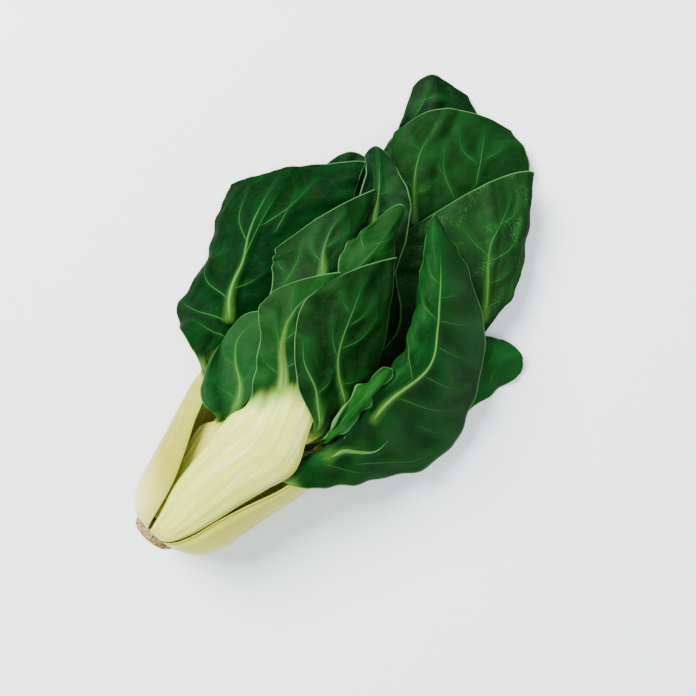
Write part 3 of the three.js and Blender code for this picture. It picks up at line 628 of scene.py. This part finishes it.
def near_veins(leaf, s, across):
    """How close each place is to a main vein, from 0 to 1, and how much it belongs to a pale rib."""
    close, rib = np.zeros_like(s), np.zeros_like(s)
    for start, end, points in veins_of(leaf):
        vein_s, vein_v = vein_path(leaf, points)
        vein_across = vein_v * leaf.half_width(vein_s)
        for k in range(len(vein_s)):
            t = k / len(vein_s)
            wide = start + (end - start) * t
            near = np.abs(s - vein_s[k]) < NEAR_VEIN
            distance = np.hypot(s[near] - vein_s[k], across[near] - vein_across[k])
            close[near] = np.maximum(close[near], np.exp(-(distance / (1.6 + start)) ** 2))
            # The pale band is widest and palest where the vein starts.
            if start >= WIDE_VEIN:
                reach = 1.8 * wide + 0.9 + 3 * (1 - t) ** 4
                paler = (0.4 - 0.34 * t) * (1 - smooth(distance, 0, reach))
                rib[near] = np.maximum(rib[near], paler)
    return close, rib


def fine_thickness(leaf, s, v, half, stalk_like):
    """Real thickness of a leaf, and how far the rounding of a stalk's edges draws its back in."""
    middle, _ = leaf.rib_thickness(s)
    # The rounding takes the outer fifth on either side.
    edge_round = np.sqrt(np.clip(1 - (np.clip(np.abs(v) - 0.8, 0, 1) / 0.201) ** 2, 0.02, 1))
    stalk = middle * (0.6 + 0.4 * (1 - v ** 2)) * edge_round
    wide = np.minimum(leaf.plan["rib"][1], half * 0.6)
    green = SKIN + (np.maximum(middle, 1) - SKIN) * np.clip(1 - (v * half / wide) ** 2, 0, 1)
    thick = stalk * stalk_like + green * (1 - stalk_like)
    return thick, 0.35 * middle * (1 - edge_round) * stalk_like


def fine_relief(leaf, s, v, half, stalk_like, veins):
    """Height of the puckers, the margin's crinkles, the swelling along veins and the ridges of the stalk."""
    look, across = leaf.look, v * half
    inside = smooth(half * (1 - np.abs(v)), 0, np.minimum(7, 0.7 * half))
    puckers = leaf.puckers(across, s) * PUCKER + leaf.crinkles(across, s) * CRINKLE
    ruffle = leaf.ruffles(across * 0.3, s) * (np.abs(v) ** 3) * RUFFLE
    relief = (1 - stalk_like) * (puckers * inside * (1 - 0.8 * veins) + ruffle) * look["pucker"]
    ribs = look["ribs"]
    ridges = np.sin(ribs * np.pi * v + 0.7 * np.sin(s / 23)) * 0.6 + np.sin(2.3 * ribs * np.pi * v + 2) * 0.2
    relief += ridges * RIDGE * stalk_like * (1 - 0.8 * smooth(np.abs(v), 0.7, 1)) * smooth(s, 2, 18)
    relief += (SWELL if look["back_up"] else -SWELL) * veins * (1 - stalk_like)
    return relief


def fine_faces(leaf, s, v):
    """Both faces of a leaf as they look, and what its colours need: paleness, margin, crests and veins."""
    half = leaf.half_width(s)
    across = v * half
    opens = leaf.look["green_at"] or min(leaf.green)
    stalk_like = 1 - smooth(s, opens + BECOMES_BLADE[0], opens + BECOMES_BLADE[1])
    veins, rib = near_veins(leaf, s, across)
    relief = fine_relief(leaf, s, v, half, stalk_like, veins)
    thick, inward = fine_thickness(leaf, s, v, half, stalk_like)
    place, out = leaf.point(s, v), leaf.normal(s, v)
    back = place + out * (relief - inward)[:, None]
    front = back - out * (thick - inward)[:, None]
    for face in (back, front):
        face[:, 2] = np.maximum(face[:, 2], 0)

    begins = opens + (max(leaf.green) - min(leaf.green)) * (v + 1) / 2
    uneven = s + leaf.crinkles(across, s * 0.3)
    pale = np.maximum(1 - smooth(uneven, begins + BECOMES_GREEN[0], begins + BECOMES_GREEN[1]), rib)
    margin = np.minimum(half * (1 - np.abs(v)), leaf.length - s)
    # The pucker height, which the material turns into painted shade in the hollows and painted sheen on the
    # crests.
    crest = leaf.puckers(across, s)
    return back, front, across, {"pale": pale, "margin": margin, "crest": crest, "near_vein": veins}


def new_object(name, data):
    piece = bpy.data.objects.new(name, data)
    bpy.context.scene.collection.objects.link(piece)
    return piece


def new_mesh(name, points, faces):
    mesh = bpy.data.meshes.new(name)
    mesh.from_pydata((points * MM).tolist(), [], faces)
    mesh.polygons.foreach_set("use_smooth", [True] * len(mesh.polygons))
    mesh.update()
    return new_object(name, mesh)


def put_values(mesh, name, values):
    layer = mesh.attributes.new(name, "FLOAT", "POINT")
    layer.data.foreach_set("value", np.asarray(values, dtype=np.float32))


def grid_faces(rows, columns):
    """Quads of both faces of a sheet and of the walls round it."""
    number = np.arange(rows * columns).reshape(rows, columns)
    a, b, c, d = number[:-1, :-1], number[:-1, 1:], number[1:, 1:], number[1:, :-1]
    back = np.stack([a, b, c, d], axis=-1).reshape(-1, 4)
    front = np.stack([a, d, c, b], axis=-1).reshape(-1, 4) + rows * columns
    rim = np.concatenate([number[0, ::-1], number[1:, 0], number[-1, 1:], number[-2:0:-1, -1]])
    after = np.roll(rim, -1)
    walls = np.stack([rim, after, after + rows * columns, rim + rows * columns], axis=-1)
    return np.concatenate([back, front, walls]).tolist()


def fine_leaf(leaf):
    """The mesh of a leaf, with the values and the flat places that its material reads."""
    rows = int(leaf.length / (FINE * leaf.look["coarse"])) + 1
    widest = leaf.half_width(np.linspace(0, leaf.length, 40)).max()
    columns = int(2 * widest / (FINE * leaf.look["coarse"])) // 2 * 2 + 3
    rim = np.linspace(-1, 1, columns)
    stops = np.linspace(0, leaf.length, rows)
    s, v = [grid.ravel() for grid in np.meshgrid(stops, rim, indexing="ij")]
    back, front, across, values = fine_faces(leaf, s, v)
    piece = new_mesh(leaf.name, np.vstack([back, front]), grid_faces(rows, columns))
    mesh = piece.data
    values["along"] = s
    for name, numbers in values.items():
        put_values(mesh, name, np.tile(numbers, 2))
    put_values(mesh, "turned", np.repeat([0.0, 1.0], len(s)))
    grain = mesh.uv_layers.new(name="grain")
    corners = np.empty(len(mesh.loops), dtype=np.int32)
    mesh.loops.foreach_get("vertex_index", corners)
    flat = np.tile(np.stack([across, s], axis=-1), (2, 1)) * GRAIN
    grain.data.foreach_set("uv", flat[corners].astype(np.float32).ravel())
    return piece


def vein_strips(leaf):
    """The main veins as low tapering ridges on both faces of a leaf."""
    points, faces, breadth = [], [], []
    for start, end, path in veins_of(leaf):
        s, v = vein_path(leaf, path)
        back, front = fine_faces(leaf, s, v)[:2]
        out = leaf.normal(s, v)
        for line, way in ((back, 1), (front, -1)):
            heading = np.gradient(line, axis=0)
            heading /= np.maximum(np.linalg.norm(heading, axis=1), 1e-9)[:, None]
            aside = np.cross(heading, out * way)
            width = np.linspace(start, end, len(s))
            steps = np.arange(len(s))
            wide = width * VEIN_HALF * np.clip(np.minimum(steps / 4, steps[::-1] / 12), 0.15, 1)
            first = sum(len(block) for block in points)
            for across, up in VEIN_SECTION:
                tall = np.minimum(wide, 0.6) * VEIN_TALL * up
                points.append(line + aside * (wide * across)[:, None] + out * way * tall[:, None])
                breadth.append(width)
            for k in range(len(VEIN_SECTION) - 1):
                low = first + k * len(s)
                for i in range(len(s) - 1):
                    a, b = low + i, low + i + 1
                    quad = [a, b, b + len(s), a + len(s)]
                    faces.append(quad if way > 0 else quad[::-1])
    piece = new_mesh(leaf.name + "_veins", np.vstack(points), faces)
    put_values(piece.data, "breadth", np.concatenate(breadth))
    return piece


def linear(code):
    """A colour written as it looks on screen, in the renderer's own scale."""
    parts = [int(code[k:k + 2], 16) / 255 for k in (1, 3, 5)]
    return (*[c / 12.92 if c <= 0.04045 else ((c + 0.055) / 1.055) ** 2.4 for c in parts], 1.0)


class Nodes:
    """A short way to build a material's node tree."""

    def __init__(self, name):
        self.material = bpy.data.materials.new(name)
        self.material.use_nodes = True
        self.tree = self.material.node_tree
        self.shader = self.tree.nodes["Principled BSDF"]

    def add(self, kind, **values):
        node = self.tree.nodes.new(kind)
        for key, value in values.items():
            setattr(node, key, value)
        return node

    def link(self, source, target):
        self.tree.links.new(source, target)

    def value(self, name):
        return self.add("ShaderNodeAttribute", attribute_name=name).outputs["Fac"]

    def grain(self, across, along):
        """Places on the leaf, stretched: bigger numbers make a finer pattern."""
        place = self.add("ShaderNodeUVMap", uv_map="grain")
        stretch = self.add("ShaderNodeMapping")
        stretch.inputs["Scale"].default_value = (across, along, 1)
        self.link(place.outputs["UV"], stretch.inputs["Vector"])
        return stretch.outputs["Vector"]

    def noise(self, vector, scale, detail):
        node = self.add("ShaderNodeTexNoise")
        node.inputs["Scale"].default_value = scale
        node.inputs["Detail"].default_value = detail
        self.link(vector, node.inputs["Vector"])
        return node.outputs["Fac"]

    def warped(self, vector, scale, reach):
        """The same places, pushed about a little so that a pattern on them isn't regular."""
        push = self.add("ShaderNodeTexNoise")
        push.inputs["Scale"].default_value = scale
        self.link(vector, push.inputs["Vector"])
        moved = self.add("ShaderNodeVectorMath", operation="MULTIPLY_ADD")
        self.link(push.outputs["Color"], moved.inputs[0])
        moved.inputs[1].default_value = (reach, reach, 0)
        self.link(vector, moved.inputs[2])
        return moved.outputs["Vector"]

    def cells(self, vector, scale):
        node = self.add("ShaderNodeTexVoronoi", feature="DISTANCE_TO_EDGE")
        node.inputs["Scale"].default_value = scale
        self.link(vector, node.inputs["Vector"])
        return node.outputs["Distance"]

    def span(self, source, low, high, start=0.0, end=1.0):
        node = self.add("ShaderNodeMapRange", interpolation_type="SMOOTHSTEP")
        for key, value in zip(("From Min", "From Max", "To Min", "To Max"), (low, high, start, end)):
            node.inputs[key].default_value = value
        self.link(source, node.inputs["Value"])
        return node.outputs["Result"]

    def math(self, operation, a, b):
        node = self.add("ShaderNodeMath", operation=operation)
        for socket, value in zip(node.inputs, (a, b)):
            if isinstance(value, (int, float)):
                socket.default_value = value
            else:
                self.link(value, socket)
        return node.outputs["Value"]

    def mix(self, factor, a, b):
        node = self.add("ShaderNodeMix", data_type="RGBA")
        for key, value in ((0, factor), (6, a), (7, b)):
            socket = node.inputs[key]
            if isinstance(value, str):
                socket.default_value = linear(value)
            elif isinstance(value, (int, float)):
                socket.default_value = value
            else:
                self.link(value, socket)
        return node.outputs[2]

    def bump(self, height, strength, distance):
        node = self.add("ShaderNodeBump")
        node.inputs["Strength"].default_value = strength
        node.inputs["Distance"].default_value = distance
        self.link(height, node.inputs["Height"])
        self.link(node.outputs["Normal"], self.shader.inputs["Normal"])


def blade_colour(nodes, look, even, nets):
    """Painted shade in the hollows, greener on the crests with a painted sheen on the highest, mottled, with
    small veins and sometimes speckles.
    """
    # The pucker height paints shade into the blade's hollows and a sheen onto its highest crests.
    green = nodes.mix(nodes.span(nodes.value("crest"), -2.2, 2.2), look["hollow_shade"], look["green"])
    # Painted sheen: the highest crests are mixed towards the lighter green.
    green = nodes.mix(nodes.span(nodes.value("crest"), 0.2, 2.2, 0.0, 0.2), green, look["light"])
    turned = nodes.value("turned")
    if not look["back_up"]:
        turned = nodes.math("SUBTRACT", 1.0, turned)
    green = nodes.mix(nodes.math("MULTIPLY", turned, 0.5), green, look["other"])
    mottling = nodes.span(nodes.noise(even, 38, 3.0), 0.3, 0.75, 0.0, 0.16)
    green = nodes.mix(mottling, green, look["light"])
    for net, line, share in zip(nets, (0.06, 0.08), (1, 0.35)):
        green = nodes.mix(nodes.span(net, line, 0.0, 0.0, look["net"] * share), green, look["vein"])
    green = nodes.mix(nodes.span(nodes.value("near_vein"), 0.2, 1.0, 0.0, 0.35), green, look["light"])
    if look["speckles"]:
        dots = nodes.span(nodes.noise(even, 130, 2.0), 0.52, 0.68)
        patches = nodes.span(nodes.noise(even, 9, 1.0), 0.52, 0.64, 0.0, 0.7)
        green = nodes.mix(nodes.math("MULTIPLY", dots, patches), green, SPECKLE)
    return green


def stalk_colour(nodes, look, even, lengthwise, streaks):
    """Broad and fine streaks along it, a warmer foot, greener edges and a few brown marks."""
    broad = nodes.noise(lengthwise, 14, 2.0)
    stalk = nodes.mix(nodes.span(broad, 0.3, 0.7), look["stalk_low"], look["stalk"])
    stalk = nodes.mix(nodes.span(nodes.value("along"), 34, 4, 0.0, 0.6), stalk, look["base"])
    brighter = nodes.span(nodes.value("along"), 20, 60, 0.1, 0.7)
    bright = nodes.math("MULTIPLY", nodes.span(streaks, 0.5, 0.72), brighter)
    stalk = nodes.mix(bright, stalk, look["stalk_high"])
    stalk = nodes.mix(nodes.span(nodes.value("margin"), 10, 0, 0.0, 0.6), stalk, look["stalk_edge"])
    return nodes.mix(nodes.span(nodes.noise(even, 70, 1.0), 0.75, 0.8, 0.0, 0.6), stalk, BROWN_MARK)


def leaf_material(name, look):
    """Pale ribbed stalk running out into a green blade with a net of small veins and a painted highlight
    along its margin.
    """
    nodes = Nodes(name)
    even = nodes.grain(1, 1)
    lengthwise = nodes.grain(1, 0.05)
    streaks = nodes.noise(lengthwise, 60, 3.0)
    warped = nodes.warped(even, 9, 0.03)
    nets = [nodes.cells(warped, scale) for scale in (13, 42)]
    pale = nodes.value("pale")

    green = blade_colour(nodes, look, even, nets)
    stalk = stalk_colour(nodes, look, even, lengthwise, streaks)
    edge = nodes.math("ADD", pale, nodes.span(streaks, 0.3, 0.7, -0.03, 0.03))
    blend = nodes.mix(nodes.span(edge, 0.08, 0.62), green, look["between"])
    colour = nodes.mix(nodes.span(edge, 0.5, 0.95), blend, stalk)
    on_blade = nodes.span(pale, 0.5, 0.1, 0.0, 0.7)
    # A painted highlight: a thin paler line along the blade's margin.
    rim = nodes.math("MULTIPLY", nodes.span(nodes.value("margin"), 0.45, 0.2), on_blade)
    nodes.link(nodes.mix(rim, colour, look["rim"]), nodes.shader.inputs["Base Color"])

    rough = nodes.span(pale, 0.2, 0.9, look["rough"], STALK_ROUGH)
    nodes.link(rough, nodes.shader.inputs["Roughness"])
    gloss = nodes.span(pale, 0.2, 0.9, look["gloss"], STALK_GLOSS)
    nodes.link(gloss, nodes.shader.inputs["Specular IOR Level"])

    rises = [nodes.math("MULTIPLY", nodes.span(net, 0.0, 0.2), rise) for net, rise in zip(nets, (0.7, 0.22))]
    height = nodes.math("MULTIPLY", nodes.math("ADD", *rises), nodes.span(pale, 0.7, 0.2))
    grooves = nodes.math("MULTIPLY", streaks, nodes.span(pale, 0.2, 0.8, 0.0, 0.7))
    nodes.bump(nodes.math("ADD", height, grooves), 0.3, 0.0005)
    return nodes.material


def vein_material(name, look):
    """The wider a vein is, the paler it is."""
    nodes = Nodes(name)
    wide = nodes.span(nodes.value("breadth"), 0.2, 1.6)
    nodes.link(nodes.mix(wide, look["vein"], look["vein_high"]), nodes.shader.inputs["Base Color"])
    nodes.shader.inputs["Roughness"].default_value = 0.5
    nodes.shader.inputs["Specular IOR Level"].default_value = 0.06
    return nodes.material


def plain_material(name, low, high, scale, rough, bump_size=0.0):
    """Two colours that run into each other in patches."""
    nodes = Nodes(name)
    place = nodes.add("ShaderNodeTexCoord").outputs["Object"]
    uneven = nodes.noise(place, scale, 4.0)
    nodes.link(nodes.mix(nodes.span(uneven, 0.3, 0.7), low, high), nodes.shader.inputs["Base Color"])
    nodes.shader.inputs["Roughness"].default_value = rough
    if bump_size:
        nodes.bump(uneven, 0.6, bump_size)
    return nodes.material


def root_end():
    """The cut stem: a rough disc with a ring of torn base scales round it."""
    sides, rings = 72, 26
    outline = np.array(STEM_OUTLINE)
    x = np.linspace(outline[0, 0], outline[-1, 0], rings)
    radius = np.interp(x, outline[:, 0], outline[:, 1])
    turn = np.linspace(0, 2 * np.pi, sides, endpoint=False)
    lumps = Ripples(LUMPS)
    side, lean, height = STEM_AXIS
    points = [CUT_MIDDLE]
    for one_x, one_radius in zip(x, radius):
        rough = lumps(turn * 3, np.full(sides, one_x)) * LUMP * (one_x < TORN_BELOW)
        for one_turn, one_rough in zip(turn, rough):
            reach = one_radius + one_rough
            points.append((
                one_x + LUMP_ALONG * one_rough,
                side + lean * one_x + reach * math.cos(one_turn),
                height + reach * math.sin(one_turn),
            ))
    faces = [[0, 1 + (k + 1) % sides, 1 + k] for k in range(sides)]
    for i in range(rings - 1):
        for k in range(sides):
            a, b = 1 + i * sides + k, 1 + i * sides + (k + 1) % sides
            faces.append([a, b, b + sides, a + sides])
    faces.append([1 + (rings - 1) * sides + k for k in range(sides)])
    return new_mesh("root_end", np.array(points), faces)


def light(name, place, size, power, colour):
    """A round lamp that points at the head."""
    lamp = bpy.data.lights.new(name, "AREA")
    lamp.shape = "DISK"
    lamp.size = size
    lamp.energy = power
    lamp.color = colour
    piece = new_object(name, lamp)
    piece.location = place
    piece.rotation_euler = (AIM - place).to_track_quat("-Z", "Y").to_euler()


camera = bpy.data.cameras.new("camera")
camera.lens = LENS
camera.sensor_width = SENSOR
camera.clip_start = 0.01
camera_piece = new_object("camera", camera)
camera_piece.location = (*CAMERA_OVER, CAMERA_HEIGHT)
turned = math.radians(CAMERA_TURN)
camera_piece.rotation_euler = (0, 0, turned)
bpy.context.scene.camera = camera_piece

# Right, up and towards the viewer in the picture, as directions over the floor
RIGHT = Vector((math.cos(turned), math.sin(turned), 0))
UP = Vector((-RIGHT.y, RIGHT.x, 0))
HIGH = Vector((0, 0, 1))

light("window", AIM - RIGHT * 0.9 + UP * 0.8 + HIGH * 1.2, size=1.1, power=115, colour=(1.0, 0.985, 0.96))
light("sky", AIM + RIGHT * 0.4 - UP * 0.3 + HIGH * 1.6, size=1.8, power=30, colour=(0.93, 0.97, 1.0))
world = bpy.data.worlds.new("room")
world.use_nodes = True
room = world.node_tree.nodes["Background"].inputs
room["Color"].default_value = (0.9, 0.95, 1.0, 1)
room["Strength"].default_value = 0.75
bpy.context.scene.world = world

corners = FLOOR * np.array([(-1, -1, 0), (1, -1, 0), (1, 1, 0), (-1, 1, 0)])
floor = new_mesh("floor", corners, [[0, 1, 2, 3]])
floor.data.materials.append(plain_material("floor", "#e9ebef", "#eceef1", scale=3.0, rough=0.7))

pile = Pile()
for leaf_name, row in LEAVES.items():
    leaf = Leaf(leaf_name, row)
    pile.lay(leaf)
    body = fine_leaf(leaf)
    body.data.materials.append(leaf_material(leaf_name + "_skin", leaf.look))
    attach(body, "root")
    split = leaf_name + "_stalk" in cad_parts
    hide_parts(*([leaf_name + "_stalk", leaf_name + "_blade"] if split else [leaf_name]))
    if veins_of(leaf):
        strips = vein_strips(leaf)
        strips.data.materials.append(vein_material(leaf_name + "_vein", leaf.look))
        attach(strips, "root")

root = root_end()
cut_root = plain_material("cut_root", "#3f2f12", "#a08a4e", scale=900, rough=0.85, bump_size=0.0006)
root.data.materials.append(cut_root)
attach(root, "root")
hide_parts("stem")
